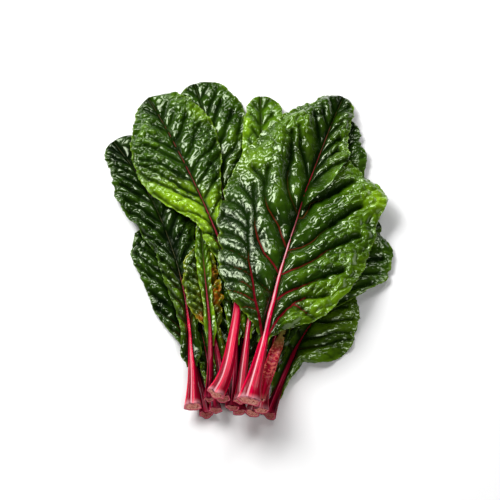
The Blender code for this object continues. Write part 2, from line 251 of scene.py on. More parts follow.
def octaves(x, y, seed, count=3):
    """Noise with finer and fainter noise on it."""
    total, size = 0.0, 1.0
    for k in range(count):
        total = total + value_noise(x * 2**k, y * 2**k, seed + 31 * k) * size
        size *= 0.5
    return total / 1.6


def cells(x, y, seed):
    """Pillows about one unit wide: 0 on the borders of random cells and 1 inside, and each cell's number."""
    table = np.random.RandomState(seed).rand(128, 128, 3)
    xi, yi = np.floor(x).astype(int), np.floor(y).astype(int)
    nearest, second, number = np.full((3, *x.shape), 9.0)
    for dx in (-1, 0, 1):
        for dy in (-1, 0, 1):
            cell = table[(xi + dx) & 127, (yi + dy) & 127]
            away = np.hypot(xi + dx + 0.1 + 0.8 * cell[..., 0] - x, yi + dy + 0.1 + 0.8 * cell[..., 1] - y)
            closer = away < nearest
            second = np.where(closer, nearest, np.minimum(second, away))
            number = np.where(closer, cell[..., 2], number)
            nearest = np.minimum(nearest, away)
    rise = np.clip((second - nearest) / 0.75, 0, 1)
    return 1 - (1 - rise) ** 2, number


def smooth(low, high, value):
    """0 up to low, 1 from high, and a smooth step between; low may be the larger."""
    share = np.clip((value - low) / (high - low), 0, 1)
    return share * share * (3 - 2 * share)


def bell(x, width):
    return np.exp(-((x / width) ** 2))


def spots(places, a, s):
    """The sum of round soft spots, each (advance, offset, radius, strength)."""
    total = np.zeros(a.shape)
    for advance, offset, radius, strength in places:
        total += strength * np.exp(-((a - advance) ** 2 + (s - offset) ** 2) / radius**2)
    return total


def through(values, low, t):
    """A smooth curve through the values, read at the share t of the way from each low one to the next."""
    a, b = values[np.maximum(low - 1, 0)], values[low]
    c, d = values[low + 1], values[np.minimum(low + 2, len(values) - 1)]
    return 0.5 * (2 * b + (c - a) * t + (2 * a - 5 * b + 4 * c - d) * t**2 + (3 * b - a - 3 * c + d) * t**3)


def cubic(values, count):
    """The values resampled to count rows along the first axis."""
    at = np.linspace(0, len(values) - 1, count)
    low = np.clip(at.astype(int), 0, len(values) - 2)
    return through(values, low, (at - low).reshape((-1,) + (1,) * (values.ndim - 1)))


def enlarge(grid, rows, columns):
    return cubic(cubic(grid, rows).T, columns).T


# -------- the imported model's heights


def node_tree(*names):
    """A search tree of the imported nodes, in millimetres."""
    verts, faces = [], []
    for name in names:
        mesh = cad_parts[name].data
        first = len(verts)
        verts += [v.co / MM for v in mesh.vertices]
        faces += [[first + k for k in poly.vertices] for poly in mesh.polygons]
    return BVHTree.FromPolygons(verts, faces)


def surface_height(tree, x, y):
    """The height where a plumb line at x, y meets a node from above, or that of its nearest point."""
    hit = tree.ray_cast(Vector((x, y, 500.0)), Vector((0, 0, -1)))[0]
    if hit is None:
        hit = tree.find_nearest(Vector((x, y, 20.0)))[0]
        hit = tree.find_nearest(Vector((x, y, hit.z)))[0]
    return hit.z


def heights_at(tree, x, y):
    return np.array([surface_height(tree, a, b) for a, b in zip(x.ravel(), y.ravel())]).reshape(x.shape)


def room_above(tree, x, y, z):
    """The free height over each point under the nodes in the tree."""
    found = []
    for a, b, c in zip(x.ravel(), y.ravel(), z.ravel()):
        hit = tree.ray_cast(Vector((a, b, c + 0.3)), Vector((0, 0, 1)))[0]
        found.append(FAR if hit is None else hit.z - c)
    return np.array(found).reshape(x.shape)


def plan_shift():
    """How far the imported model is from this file's plan, on X and Y, over all the stalks' boxes."""
    shifts = []
    for leaf in LEAVES:
        low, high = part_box(leaf.name + "_stalk")
        at = np.linspace(0, leaf.length, 60)
        points, directions = spine(leaf, at, (0.0, 0.0))
        across = np.abs(directions[:, 1]) * (girth_at(leaf, at)[0] / 2)
        middle = ((points[:, 0] - across).min() + (points[:, 0] + across).max()) / 2
        shifts.append(((low[0] + high[0]) / 2 / MM - middle, high[1] / MM - points[-1, 1]))
    return np.median(np.array(shifts), axis=0)


# -------- a leaf's plan


def spine(leaf, at, shift):
    """Plan points and unit directions of the midrib line at distances from the cut end."""
    fine = np.linspace(0.0, leaf.length, 400)
    turn = np.radians(np.interp(fine, (0.0, leaf.petiole / 2, leaf.petiole, leaf.length), leaf.headings))
    step = fine[1] - fine[0]
    x = leaf.cut[0] + np.concatenate([[0.0], np.cumsum(np.sin(turn[:-1]))]) * step
    y = leaf.cut[1] + np.concatenate([[0.0], np.cumsum(np.cos(turn[:-1]))]) * step
    x = x + leaf.bow * np.sin(np.pi * np.clip(fine / leaf.petiole, 0, 1)) ** 2
    turn = np.arctan2(np.gradient(x), np.gradient(y))
    angle = np.interp(at, fine, turn)
    points = np.stack([np.interp(at, fine, x) + shift[0], np.interp(at, fine, y) + shift[1]], axis=1)
    return points, np.stack([np.sin(angle), np.cos(angle)], axis=1)


def rights_of(directions):
    return np.stack([directions[:, 1], -directions[:, 0]], axis=1)


def beside(points, directions, right, ahead):
    """Plan coordinates of a grid whose rows lie to the right of a line's points and ahead of them."""
    rights = rights_of(directions)
    return [points[:, k, None] + rights[:, k, None] * right + directions[:, k, None] * ahead for k in (0, 1)]


def girth_at(leaf, along):
    """Stalk width and depth at distances from the cut end."""
    width, depth = leaf.girth
    bare = np.clip(along / leaf.petiole, 0, 1)
    under = np.exp(-leaf.taper * np.clip((along - leaf.petiole) / leaf.blade, 0, 1))
    flare = 1 + FLARE * np.clip(1 - along / FLARE_LENGTH, 0, 1) ** 2
    wide = width * (leaf.neck + (1 - leaf.neck) * (1 - bare) ** 1.4) * flare
    deep = depth * (0.5 + 0.5 * (1 - bare))
    wide = np.where(along > leaf.petiole, TIP_GIRTH[0] + (width * leaf.neck - TIP_GIRTH[0]) * under, wide)
    deep = np.where(along > leaf.petiole, TIP_GIRTH[1] + (depth * 0.5 - TIP_GIRTH[1]) * under, deep)
    return wide, deep


def half_rib(leaf, a):
    """Half the midrib's width at distances from the blade's base."""
    return girth_at(leaf, leaf.petiole + np.clip(a, 0, leaf.blade))[0] / 2


def half_widths(leaf, share, side):
    """A half blade's width at shares of its length, with its lobes and its ragged margin."""
    values = np.array(leaf.left if side < 0 else leaf.right, float)
    at = np.clip(share, 0, 1) * 10
    low = np.minimum(at.astype(int), 8)
    width = through(values, low, at - low)
    cap = np.clip(1 - np.clip(at - 9, 0, 1) ** leaf.cap[0], 0, 1) ** leaf.cap[1]
    width = np.where(at > 9, values[9] * cap, width)
    along = share * leaf.blade
    seed = leaf.seed * 10 + 5 * (side > 0)
    lobes = 0.03 * value_noise(along / 26, 3.3, seed) + 0.02 * value_noise(along / 11, 7.7, seed + 1)
    ragged = 0.8 * value_noise(along / 4.5, 1.1, seed + 2) + 0.5 * value_noise(along / 1.9, 5.1, seed + 3)
    near = girth_at(leaf, leaf.petiole + along)[0] / 2 + 1.2
    start = -leaf.wings[0]
    wing = near + np.maximum(leaf.wings[1 + (side > 0)] - near, 0) * smooth(start, 0.6 * start, along)
    wing = wing + (values[0] - wing) * smooth(0.6 * start, 0, along)
    width = np.where(share < 0, wing, width) * (1 + lobes) + ragged * np.clip(width / 20, 0, 1)
    return np.maximum(width, 0.3)


def lateral_veins(leaf):
    """Each lateral vein as (side, points along it as advance and offset, redness).

    Those listed in the leaf come first, and the rest follow them at about the leaf's spacing up to the tip.
    """
    found = []
    random = np.random.RandomState(leaf.seed + 500)
    for side, custom, slope in zip((-1, 1), leaf.veins, leaf.slope):
        for red, points in custom:
            found.append((side, np.array(points, float) * (1, side), red))
        root = leaf.spacing * (0.15 if side < 0 else 0.4)
        if custom:
            root = max(points[0][0] for _, points in custom) + leaf.spacing
        while root < leaf.blade * 0.95:
            ahead = min(root / leaf.blade + 0.18, 0.97)
            reach = half_widths(leaf, np.array([ahead]), side)[0] * 0.92
            lean = slope * (1 + 0.2 * (random.rand() - 0.5))
            t = np.linspace(0, 1, 9)
            bow = 0.3 * reach * t**2 + 0.05 * reach * np.sin(t * 6 + random.rand() * 6)
            red = leaf.red * (1 - smooth(0.1, 0.5, root / leaf.blade))
            line = np.stack([root + lean * reach * t * 0.85 + bow, side * reach * t], axis=1)
            found.append((side, line, red))
            root += leaf.spacing * (0.75 + 0.5 * random.rand())
    return found


def forks(veins, seed):
    """Side branches off the lateral veins, towards the margin."""
    random = np.random.RandomState(seed + 900)
    found = []
    for side, points, red in veins:
        count = len(points)
        for share in (0.3, 0.5, 0.7):
            k = int(share * (count - 1))
            along = points[k + 1] - points[k]
            along = along / np.hypot(*along)
            turn = math.radians(38 + 20 * random.rand()) * (1 if random.rand() > 0.5 else -1)
            cos, sin = math.cos(turn), math.sin(turn)
            away = np.array([along[0] * cos - along[1] * sin, along[0] * sin + along[1] * cos])
            reach = np.hypot(*(points[-1] - points[k])) * (0.4 + 0.3 * random.rand())
            t = np.linspace(0, 1, 4)[:, None]
            found.append((side, points[k] + away * reach * t * 0.8 + along * reach * 0.45 * t**2, red * 0.5))
    return found


def distances_to(veins, a, s):
    """Distances to the nearest vein and the next one, and how red and how raised the surface is with them."""
    nearest, second = np.full(a.shape, FAR), np.full(a.shape, FAR)
    redness, cord = np.zeros(a.shape), np.zeros(a.shape)
    for side, points, red in veins:
        chosen = (s * side > -3) & (a > points[:, 0].min() - 40) & (a < points[:, 0].max() + 40)
        pa, ps = a[chosen], s[chosen]
        near, place = np.full(pa.shape, FAR), np.zeros(pa.shape)
        count = len(points) - 1
        for k, (one, two) in enumerate(zip(points[:-1], points[1:])):
            run = two - one
            t = np.clip(((pa - one[0]) * run[0] + (ps - one[1]) * run[1]) / (run @ run + 1e-9), 0, 1)
            away = np.hypot(pa - one[0] - t * run[0], ps - one[1] - t * run[1])
            closer = away < near
            near = np.where(closer, away, near)
            place = np.where(closer, (k + t) / count, place)
        old = nearest[chosen]
        second[chosen] = np.where(near < old, old, np.minimum(second[chosen], near))
        nearest[chosen] = np.minimum(old, near)
        thick = 0.35 + (0.3 + 0.7 * red) * (1 - place)
        fade = (1 - smooth(0.45, 1.0, place)) * red
        redness[chosen] = np.maximum(redness[chosen], bell(near, thick) * fade)
        raised = bell(near, thick * 0.8) * (1 - place) ** 1.5 * max(red - 0.3, 0.0)
        cord[chosen] = np.maximum(cord[chosen], raised)
    return nearest, second, redness, cord


def wandering(leaf, a, s):
    """The plan coordinates, shifted so that straight veins wander, but not near the midrib."""
    shift = leaf.waver * smooth(2, 26, np.abs(s))
    return (
        a + shift * octaves(a / 27, s / 27, leaf.seed + 45, 2),
        s + shift * octaves(a / 27 + 7.3, s / 27, leaf.seed + 46, 2),
    )


def rolls(leaf, veins, a, s):
    """Rounded rolls between neighbouring laterals: 0 on a vein, and about 1 in the middle of a wide roll."""
    nearest, second, redness, cord = distances_to(veins, *wandering(leaf, a, s))
    rib = np.maximum(np.abs(s) - half_rib(leaf, a), 0) * 1.25
    one = np.minimum(nearest, rib)
    two = np.minimum(second, np.maximum(nearest, rib))
    width = np.clip(one + two, 3.0, leaf.spacing * 1.15)
    middle = np.clip(2 * one / width, 0, 1)
    return (width / leaf.spacing) * (1 - (1 - middle) ** 2.3), one, redness, cord


# -------- what the leaves lie on


class Ground:
    """How high the leaves already laid down reach, on a grid of one millimetre cells."""

    half = (200, 240)

    def __init__(self):
        self.height = np.zeros((2 * self.half[0] + 1, 2 * self.half[1] + 1))

    def cell(self, x, y):
        return tuple(np.clip(np.rint(v) + h, 0, 2 * h).astype(int) for v, h in zip((x, y), self.half))

    def add(self, x, y, z):
        layer = np.zeros(self.height.shape)
        np.maximum.at(layer, self.cell(x, y), z)
        self.height = np.maximum(self.height, spread(layer, 1))

    def floor(self, x, y):
        """A smooth surface over everything laid down, read at x, y."""
        over = blur(blur(spread(self.height, 3), 2), 2)
        over = np.maximum(over, spread(self.height, 1))
        return blur(over, 1)[self.cell(x, y)]


def spread(grid, reach):
    """The highest value within reach of each cell, along each axis in turn."""
    for axis in (0, 1):
        found = grid.copy()
        for k in range(1, reach + 1):
            found = np.maximum(found, np.maximum(np.roll(grid, k, axis), np.roll(grid, -k, axis)))
        grid = found
    return grid


def blur(grid, reach):
    """The mean over the cells within reach, along each axis in turn."""
    for axis in (0, 1):
        grid = sum(np.roll(grid, k, axis) for k in range(-reach, reach + 1)) / (2 * reach + 1)
    return grid


# -------- meshes


def linked_object(name, data):
    obj = bpy.data.objects.new(name, data)
    bpy.context.scene.collection.objects.link(obj)
    return obj


def piece(name, node, verts, faces, attributes, material):
    """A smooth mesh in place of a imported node, from points in millimetres and their attributes."""
    mesh = bpy.data.meshes.new(name)
    mesh.from_pydata((verts * MM).tolist(), [], faces)
    for key, values in attributes.items():
        values = np.asarray(values, np.float32)
        kind, slot = ("FLOAT", "value") if values.ndim == 1 else ("FLOAT_VECTOR", "vector")
        layer = mesh.attributes.new(key, kind, "POINT")
        layer.data.foreach_set(slot, values.ravel())
    mesh.materials.append(material)
    mesh.polygons.foreach_set("use_smooth", [True] * len(mesh.polygons))
    mesh.validate()
    mesh.update()
    obj = linked_object(name, mesh)
    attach(obj, "root")
    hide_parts(node)


def ring_quads(index):
    """Quads between neighbouring rings of points, from a grid of their numbers with one ring a row."""
    after = np.roll(index, -1, axis=1)
    return np.stack([index[:-1], after[:-1], after[1:], index[1:]], axis=-1).reshape(-1, 4)


def closed_sheet(top, under):
    """Vertices and quads of a thin sheet from two grids of points."""
    rows, columns = top.shape[:2]
    count = rows * columns
    index = np.arange(count).reshape(rows, columns)
    quads = np.stack([index[:-1, :-1], index[:-1, 1:], index[1:, 1:], index[1:, :-1]], axis=-1).reshape(-1, 4)
    edge = np.concatenate([index[0, :-1], index[:-1, -1], index[-1, :0:-1], index[:0:-1, 0]])
    after = np.roll(edge, -1)
    rim = np.stack([edge, edge + count, after + count, after], axis=-1)
    faces = np.concatenate([quads, (quads + count)[:, ::-1], rim])
    return np.concatenate([top.reshape(-1, 3), under.reshape(-1, 3)]), faces.tolist()


@dataclass
class Layout:
    """A blade's grid in plan: rows run out from the midrib, columns along it."""

    out: np.ndarray      # of each column: -1 and 1 on the margins, 0 on the midrib
    width: np.ndarray    # each point's half width of the blade
    s: np.ndarray        # distance from the midrib, signed
    a: np.ndarray        # distance along the midrib from the blade's base
    x: np.ndarray
    y: np.ndarray
    rights: np.ndarray   # each row's direction to the right


def row_shares(leaf, rows):
    """Where the rows lie along the blade, as shares of it, a little closer together towards the tip."""
    return 1 - (1 + leaf.wings[0] / leaf.blade) * (1 - np.linspace(0, 1, rows)) ** 1.1


def blade_layout(leaf, veins, shift):
    rows = int((leaf.blade + leaf.wings[0]) / leaf.step)
    columns = int((max(leaf.left) + max(leaf.right)) / leaf.step) // 2 * 2 + 1
    share = row_shares(leaf, rows)
    out = np.linspace(-1, 1, columns)
    out = np.sign(out) * np.abs(out) ** 0.96
    sweep = np.interp(np.clip(share, 0, 1), *ROW_SWEEPS)
    width = []
    for side in (-1, 1):
        half = half_widths(leaf, share, side)
        rise = rolls(leaf, veins, share * leaf.blade + sweep * half, side * half)[0]
        fade = np.clip(half / 25, 0, 1) * smooth(1.0, 0.85, share) * smooth(0, 0.04, share)
        width.append(np.maximum(half + leaf.scallop * (rise - 0.6) * fade, 0.3)[:, None])
    width = np.where(out < 0, *width)
    s = width * out
    points, directions = spine(leaf, leaf.petiole + share * leaf.blade, shift)
    advance = sweep[:, None] * np.abs(s)
    x, y = beside(points, directions, s, advance)
    return Layout(out, width, s, share[:, None] * leaf.blade + advance, x, y, rights_of(directions))


def packed_heights(leaf, grid, upper_tree):
    """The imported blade's heights on the grid, smoothed, and the room under what lies on it."""
    rows, columns = grid.s.shape
    pick = np.ix_(
        np.linspace(0, rows - 1, max(8, rows // 6)).round().astype(int),
        np.linspace(0, columns - 1, max(7, columns // 6)).round().astype(int),
    )
    x, y = grid.x[pick], grid.y[pick]
    base = heights_at(node_tree(leaf.name + "_blade"), x, y)
    room = room_above(upper_tree, x, y, base) if upper_tree else np.full(base.shape, FAR)
    for way in (base, base.T) * 2:
        way[1:-1] = 0.5 * way[1:-1] + 0.25 * (way[2:] + way[:-2])
    return enlarge(base, rows, columns), np.clip(enlarge(room, rows, columns), 0.6, FAR)


def crinkles(leaf, grid, veins):
    """The rise of rolls, pillows and ruffles over the blade, and the patterns that colour it."""
    a, s = grid.a, grid.s
    out = np.broadcast_to(np.abs(grid.out), a.shape)
    roll, to_vein, redness, cord = rolls(leaf, veins, a, s)
    to_fork, _, fork_redness, _ = distances_to(forks(veins, leaf.seed), *wandering(leaf, a, s))

    # Pillows lie in rows beside the laterals, so their coordinates run across and along those.
    warp_a = a + 2.4 * octaves(a / 14, s / 14, leaf.seed + 40)
    warp_s = s + 2.4 * octaves(a / 14, s / 14, leaf.seed + 41)
    slope = np.where(s < 0, *leaf.slope)
    turn = 1 / np.hypot(1, slope)
    across = (warp_a - slope * np.abs(warp_s)) * turn
    outward = (np.abs(warp_s) + slope * warp_a) * turn + np.where(s < 0, 400.0, 0.0)
    pillow, tint = cells(across / (leaf.cell * 0.9), outward / (leaf.cell * 1.2), leaf.seed + 60)
    fine, _ = cells(warp_a / (leaf.cell * 0.55), warp_s / (leaf.cell * 0.55) + 90, leaf.seed + 61)
    swell = octaves(warp_a / 13, warp_s / 13, leaf.seed + 62, 2)

    # Where each of them fades.
    tip = (0.45 + 0.55 * smooth(0, 45, leaf.blade - a)) * smooth(-8, 10, leaf.blade - a)
    tip = tip * smooth(-leaf.wings[0] * 1.2, 14, a)
    calm = 1 - np.clip(spots(leaf.calm, a, s), 0, 0.8)
    flat = spots(leaf.sheen, a, s)
    plates = 0.4 * smooth(0, 0.3, pillow) + 0.3 * smooth(0, 0.4, fine)
    pillow = pillow * (1 - flat) + plates * flat
    outer = 0.25 + 0.75 * smooth(0.12, 0.6, out)
    fork = 1 - (1 - np.clip(np.minimum(to_fork, to_vein) / (leaf.spacing * 0.25), 0, 1)) ** 2

    relief = (
        leaf.puff * roll * (1 - 0.45 * smooth(0.75, 1, out)) * calm
        + leaf.puff * 0.15 * fork * outer
        + leaf.crumple * (pillow * outer + 0.2 * fine * smooth(0.4, 0.9, out)) * (0.4 + 0.6 * calm)
        + 1.4 * swell * (1 - 0.7 * flat)
        + 0.7 * leaf.puff * octaves(a / 34, s / 34, leaf.seed + 70) * (1 - 0.6 * flat)
    )
    half = np.sign(s)
    wave = value_noise(a / 15, half * 4.5 + out * 1.2, leaf.seed + 80)
    wave = wave + 0.5 * value_noise(a / 7, half * 9.5 + out, leaf.seed + 81)
    arch = smooth(0, 0.5, out) - 1.1 * smooth(0.5, 1, out)
    rise = relief + np.where(s < 0, *leaf.camber) * arch
    rise = rise * tip + leaf.ruffle * wave * smooth(0.62, 1, out) * tip * (1 - 0.5 * flat)
    groove = half_rib(leaf, a) + 1.6
    rise = rise - 0.7 * bell(s, groove) + 1.1 * cord

    near_rib = bell(s, groove * 0.8) * smooth(0.5, 0.0, a / leaf.blade)
    patterns = {
        "vein": np.maximum(np.maximum(redness, 0.5 * fork_redness), near_rib * 0.25),
        # rise: how high the relief stands; the colour paints shade in its hollows and a lit tone on its
        # crests
        "rise": np.clip((relief * tip + 1 + 0.6 * wave) / (leaf.puff + leaf.crumple + 1), 0, 1.2),
        # valley: near the lateral veins and their forks; it paints shade into the vein valleys and lowers the
        # shine there
        "valley": np.maximum(bell(to_vein, 1.3 + 0.2 * leaf.puff), 0.75 * outer * bell(to_fork, 0.9)),
        "edge": np.exp(-(1 - out) * grid.width / 1.1),
        "out": out,
        "along": np.clip(a / leaf.blade, -0.2, 1.2),
        "tint": tint,
        "pale": spots(leaf.pale, a, s),
        "rust": spots(leaf.rust, a, s),
        "sheen": flat,
    }
    return rise, patterns


def pleat(a, s):
    """The front leaf's fold: how far outwards it moves a point, and how far up.

    The upper lobe stands over the lower one along a line off the midrib, and the sheet turns back between.
    """
    line = np.interp(a, *PLEAT_LINE)
    inside = line - s
    here = smooth(147, 166, a) * smooth(246, 230, a) * smooth(-1, 4, s)
    upper = np.clip(inside / 1.5, -1, 1) / 2 + 0.5
    near = np.exp(-np.abs(inside) / 13)
    outward = 4.5 * near * (2 * upper - 1) * here
    lift = (4.5 * upper - 4.0 * (1 - upper)) * near * here
    return outward, lift


def blade_surface(leaf, shift, ground, upper_tree):
    """The blade's grid of points, and the patterns and layout on it."""
    veins = lateral_veins(leaf)
    grid = blade_layout(leaf, veins, shift)
    base, room = packed_heights(leaf, grid, upper_tree)
    rise, patterns = crinkles(leaf, grid, veins)
    x, y = grid.x, grid.y
    if leaf.name == "front_right":
        outward, lift = pleat(grid.a, grid.s)
        x = x + grid.rights[:, :1] * outward
        y = y + grid.rights[:, 1:] * outward
        rise = rise + lift
    covered, most = smooth(30, 8, room), room * 0.75
    pressed = most * (1 - np.exp(-np.clip(rise, 0, None) / most))
    rise = np.where(rise > 0, rise * (1 - covered) + pressed * covered, rise)
    floor = ground.floor(x, y)
    floor = np.where(floor > CLEARANCE, floor + CLEARANCE, CLEARANCE) + SHEET
    z = floor + SETTLING * np.logaddexp(0, (base + rise - floor) / SETTLING)
    layout = np.stack([grid.a, grid.s, np.zeros(x.shape)], axis=-1)
    return np.stack([x, y, z], axis=-1), patterns, layout


def normals_of(grid):
    """Unit normals of a grid of points, upwards where the grid collapses to a point."""
    normal = np.cross(np.gradient(grid, axis=1), np.gradient(grid, axis=0))
    length = np.linalg.norm(normal, axis=-1, keepdims=True)
    return np.where(length > 1e-4, normal / np.maximum(length, 1e-4), (0.0, 0.0, 1.0))


def dress_blade(leaf, shift, ground, upper_tree):
    """Makes the blade's piece, and returns its middle line as distances from the cut end and heights."""
    top, patterns, layout = blade_surface(leaf, shift, ground, upper_tree)
    ground.add(top[..., 0], top[..., 1], top[..., 2])
    verts, faces = closed_sheet(top, top - normals_of(top) * SHEET)
    attributes = {key: np.tile(values.ravel(), 2) for key, values in patterns.items()}
    attributes["lay"] = np.tile(layout.reshape(-1, 3), (2, 1))
    attributes["back"] = np.repeat([0.0, 1.0], top.shape[0] * top.shape[1])
    piece("leaf_" + leaf.name, leaf.name + "_blade", verts, faces, attributes, blade_material(leaf))
    return leaf.petiole + row_shares(leaf, len(top)) * leaf.blade, top[:, top.shape[1] // 2, 2]


def stalk_line(leaf, at, shift, middle):
    """The height of the stalk's crown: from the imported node, then from the blade's own middle line."""
    own = node_tree(leaf.name + "_stalk")
    probe, _ = spine(leaf, np.clip(at, 2.5, leaf.length - 2), shift)
    top = blur_line(np.array([surface_height(own, a, b) for a, b in probe]), 3)
    blade_top = np.interp(at, *middle)
    proud = np.interp(at - leaf.petiole, (-20, 0, leaf.blade * 0.3, leaf.blade), (2.4, 2.0, 0.5, 0.1))
    joined = smooth(leaf.petiole - 26, leaf.petiole + 6, at)
    return blur_line(top * (1 - joined) + (blade_top + proud) * joined, 2)


def stalk_rings(leaf, at, shift, crown):
    """The rings of points round the stalk, ribbed along its length and channelled on top."""
    withered = leaf.stalk == "blotched"
    points, directions = spine(leaf, at, shift)
    wide, deep = (side[:, None] for side in girth_at(leaf, at))
    crown, along = crown[:, None], at[:, None]
    turn = np.tile(np.linspace(0, 2 * math.pi, STALK_SIDES, endpoint=False), (len(at), 1))
    cos, sin = np.cos(turn), np.sin(turn)
    spin = along / 30.0 if withered else 0.0
    ridge = 0.035 * np.cos(5 * turn + leaf.seed * 1.7 + 0.006 * along + spin)
    ridge = ridge + 0.03 * np.cos(8 * turn + leaf.seed * 3.1 - 0.004 * along + spin)
    rough = 2.4 if withered else 1.0
    wobble = 0.04 * rough * value_noise(along / 18, cos * 1.2 + 9, leaf.seed + 7)
    if withered:
        wobble = wobble + 0.08 * value_noise(along / 5 + 2 * cos, 2 * sin + 5, leaf.seed + 8)
        wobble = wobble - 0.55 + 0.6 * np.sin(math.pi * np.clip(along / SPINDLE, 0, 1) ** 1.3)
    fullness = 1 + ridge + wobble
    side = cos * wide / 2 * fullness
    channel = 0.13 * np.clip(1 - along / leaf.length, 0.2, 1) * deep
    up = sin * deep / 2 * fullness - channel * bell(cos, 0.42) * (sin > 0) + 0.6 * channel - deep / 2
    ragged = 1.7 * value_noise(cos * 1.4 + leaf.seed, sin * 1.4 + 5, leaf.seed + 9)
    lean = ((up + deep / 2) * math.tan(math.radians(CUT_LEAN)) + ragged) * np.exp(-along / 6)
    up = np.maximum(up + crown, 0.25)
    return np.stack([*beside(points, directions, side, lean), up], axis=-1), turn, directions[0]


def dress_stalk(leaf, shift, ground, middle):
    """Makes the stalk's piece: its rings, a closed tip, and a cut face at the other end."""
    at = np.linspace(0, leaf.length - 1.0, int(leaf.length / RING_STEP))
    crown = stalk_line(leaf, at, shift, middle)
    grid, turn, heading = stalk_rings(leaf, at, shift, crown)
    ground.add(grid[..., 0], grid[..., 1], grid[..., 2])
    along = np.broadcast_to(at[:, None], turn.shape).ravel()
    lay = np.stack([np.cos(turn).ravel(), np.sin(turn).ravel(), along], axis=-1)
    index = np.arange(turn.size).reshape(turn.shape)
    face_verts, face_faces, face_lay, sizes = cut_face(grid[0], heading, turn.size)
    body, face = np.zeros(turn.size), np.zeros(len(sizes))
    attributes = {
        "lay": np.concatenate([lay, face_lay]),
        "cut": np.concatenate([body, face + 1]),
        "fade": np.concatenate([along / leaf.length, face]),
        "from_cut": np.concatenate([along, face]),
        "size": np.concatenate([body + 1, sizes]),
    }
    verts = np.concatenate([grid.reshape(-1, 3), face_verts])
    faces = ring_quads(index).tolist() + [index[-1].tolist()] + face_faces
    piece("stalk_" + leaf.name, leaf.name + "_stalk", verts, faces, attributes, stalk_material(leaf))


def cut_face(outline, heading, first):
    """The cut end: rings that step inwards and a little up the stalk, from the stalk's first ring.

    Its points are numbered from first on. Returns points, faces, pattern coordinates and sizes.
    """
    centre = outline.mean(axis=0)
    verts, lay = [], []
    for size in CUT_RINGS:
        inward = 0.0 if size == 1.0 else 0.3 + 0.9 * (1 - size)
        ring = centre + (outline - centre) * size + np.array([heading[0], heading[1], 0.0]) * inward
        verts.append(ring)
        lay.append((ring - centre)[:, (0, 2, 1)])
    numbers = first + np.arange(len(CUT_RINGS) * STALK_SIDES).reshape(-1, STALK_SIDES)
    rings = np.concatenate([np.arange(STALK_SIDES)[None], numbers])
    faces = ring_quads(rings)[:, [0, 3, 2, 1]].tolist() + [rings[-1, ::-1].tolist()]
    return np.concatenate(verts), faces, np.concatenate(lay), np.repeat(CUT_RINGS, STALK_SIDES)


def blur_line(values, reach):
    """The mean over the values within reach, with the first and last value repeated past the ends."""
    padded = np.concatenate([[values[0]] * reach, values, [values[-1]] * reach])
    return np.convolve(padded, np.ones(2 * reach + 1) / (2 * reach + 1), mode="valid")


# -------- materials


class Nodes:
    """Builds a material's node tree, a node at a time."""

    def __init__(self, name):
        self.material = bpy.data.materials.new(name)
        self.material.use_nodes = True
        self.tree = self.material.node_tree
        self.shader = self.tree.nodes["Principled BSDF"]

    def add(self, kind, **settings):
        node = self.tree.nodes.new("ShaderNode" + kind)
        inputs = settings.pop("inputs", {})
        for key, value in settings.items():
            setattr(node, key, value)
        for key, value in inputs.items():
            self.put(node.inputs[key], value)
        return node

    def put(self, socket, value):
        if isinstance(value, bpy.types.NodeSocket):
            self.tree.links.new(value, socket)
        else:
            socket.default_value = (*value, 1.0) if socket.type == "RGBA" else value

    def read(self, name, output="Fac"):
        return self.add("Attribute", attribute_name=name).outputs[output]

    def math(self, operation, *values, clamp=False):
        inputs = dict(enumerate(values))
        return self.add("Math", operation=operation, use_clamp=clamp, inputs=inputs).outputs[0]

    def plus(self, one, two):
        return self.math("ADD", one, two)

    def minus(self, one, two):
        return self.math("SUBTRACT", one, two)

    def times(self, one, two, clamp=False):
        return self.math("MULTIPLY", one, two, clamp=clamp)

    def mix(self, share, one, two):
        return self.add("Mix", data_type="RGBA", inputs={0: share, 6: one, 7: two}).outputs[2]

    def paint(self, colour, *coats):
        """Lays coats on a colour, each as how much of it shows and its own colour."""
        for share, coat in coats:
            colour = self.mix(share, colour, coat)
        return colour

    def ramp(self, value, low, high, top=1.0):
        inputs = {0: value, 1: low, 2: high, 4: top}
        return self.add("MapRange", interpolation_type="SMOOTHSTEP", inputs=inputs).outputs[0]

    def scaled(self, vector, scale):
        return self.add("VectorMath", operation="MULTIPLY", inputs={0: vector, 1: scale}).outputs[0]

    def noise(self, vector, scale, detail=3.0, rough=0.55):
        inputs = {"Vector": vector, "Scale": scale, "Detail": detail, "Roughness": rough}
        return self.add("TexNoise", inputs=inputs).outputs["Fac"]

    def bump(self, height, strength, distance):
        inputs = {"Height": height, "Strength": strength, "Distance": distance}
        return self.add("Bump", inputs=inputs).outputs["Normal"]

    def shade(self, **values):
        """Sets the shader's own sockets, with underscores for the spaces in their names."""
        for key, value in values.items():
            self.put(self.shader.inputs[key.replace("_", " ")], value)


# dark, middle, light and margin colours, linear: dark is painted shade for hollows and vein valleys, and
# light a painted lit tone for crests
GREENS = {
    "mid": ((0.004, 0.013, 0.001), (0.019, 0.055, 0.001), (0.066, 0.15, 0.002), (0.18, 0.32, 0.01)),
    "deep": ((0.002, 0.006, 0.001), (0.011, 0.033, 0.001), (0.037, 0.09, 0.003), (0.09, 0.18, 0.01)),
    "light": ((0.011, 0.03, 0.001), (0.066, 0.155, 0.002), (0.19, 0.36, 0.006), (0.24, 0.4, 0.012)),
    "gold": ((0.006, 0.014, 0.001), (0.04, 0.085, 0.002), (0.23, 0.33, 0.008), (0.36, 0.4, 0.01)),
}
YELLOW_GREEN = (0.22, 0.4, 0.004)
RUST = (0.36, 0.1, 0.006)
VEIN_RED = (0.15, 0.003, 0.01)
VEIN_BROWN = (0.07, 0.022, 0.004)
UNDERSIDE = (0.08, 0.18, 0.04)


